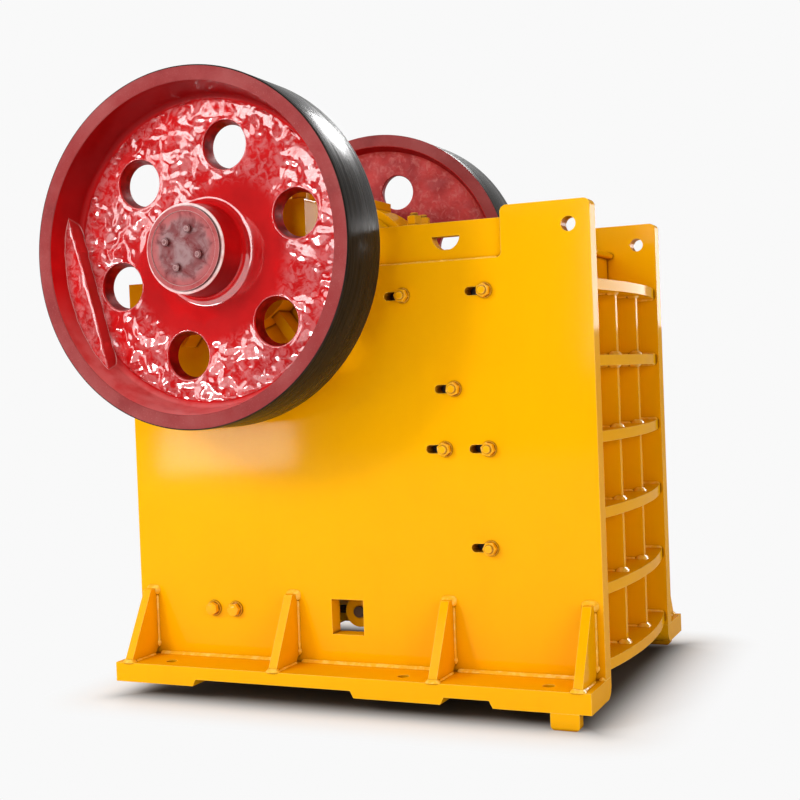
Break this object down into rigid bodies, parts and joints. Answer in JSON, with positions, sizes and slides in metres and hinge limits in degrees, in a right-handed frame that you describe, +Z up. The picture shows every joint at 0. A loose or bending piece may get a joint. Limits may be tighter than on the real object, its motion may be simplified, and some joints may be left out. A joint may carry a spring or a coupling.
{
  "type": "jaw crusher",
  "caption": "Stationary jaw crusher: welded ribbed frame with toothed jaws, a swing jaw on an eccentric shaft and a heavy flywheel at each end.",
  "frame": {"origin": "centre of the four outer anchor holes, on the underside of the base pads", "axes": "+X towards the ribbed front wall, +Y towards the left side, +Z up; the shaft runs along Y"},
  "size_m": [2.1448, 1.997, 2.45],
  "materials": {
    "yellow_paint": "satin",
    "red_enamel": "gloss over rough casting",
    "faded_red": "matt",
    "machined_steel": "turned",
    "manganese_steel": "as cast",
    "dark_steel": "oiled"
  },
  "bodies": {
    "frame": {"base_flange_left": "yellow_paint", "base_flange_right": "yellow_paint", "bearing_brackets": "yellow_paint", "bearing_cap_left": "yellow_paint", "bearing_cap_right": "yellow_paint", "bearing_covers_left": "yellow_paint", "bearing_covers_right": "yellow_paint", "bearing_housing_left": "yellow_paint", "bearing_housing_right": "yellow_paint", "cap_bolts": "yellow_paint", "cheek_bolts": "yellow_paint", "cheek_plate_left": "manganese_steel", "cheek_plate_right": "manganese_steel", "fixed_jaw_plate": "manganese_steel", "front_ribs": "yellow_paint", "front_stiffeners": "yellow_paint", "front_top_flange": "yellow_paint", "front_wall": "yellow_paint", "gussets_left": "yellow_paint", "gussets_right": "yellow_paint", "locating_lugs": "yellow_paint", "main_bearings": "machined_steel", "pitman": "yellow_paint", "rear_ribs": "yellow_paint", "rear_stiffeners": "yellow_paint", "rear_wall": "yellow_paint", "side_wall_left": "yellow_paint", "side_wall_right": "yellow_paint", "spring_beam": "yellow_paint", "spring_beam_bolts": "yellow_paint", "swing_jaw_plate": "manganese_steel", "swing_jaw_wedge": "yellow_paint", "tension_rod_pins": "dark_steel", "tension_rods": "dark_steel", "tension_springs": "dark_steel", "toggle_beam": "yellow_paint", "toggle_plate": "dark_steel", "toggle_seats": "dark_steel", "upper_panel_left": "yellow_paint", "upper_panel_right": "yellow_paint"},
    "rotor": {"eccentric_shaft": "machined_steel", "flywheel_right": "red_enamel", "flywheel_left": "red_enamel", "hub_cap_right": "faded_red", "hub_cap_left": "faded_red"}
  },
  "joints": [
    {"name": "shaft_spin", "type": "hinge", "parent": "frame", "child": "rotor", "pos_m": [-0.4575, 0, 1.71], "axis": [0, 1, 0], "continuous": true}
  ]
}
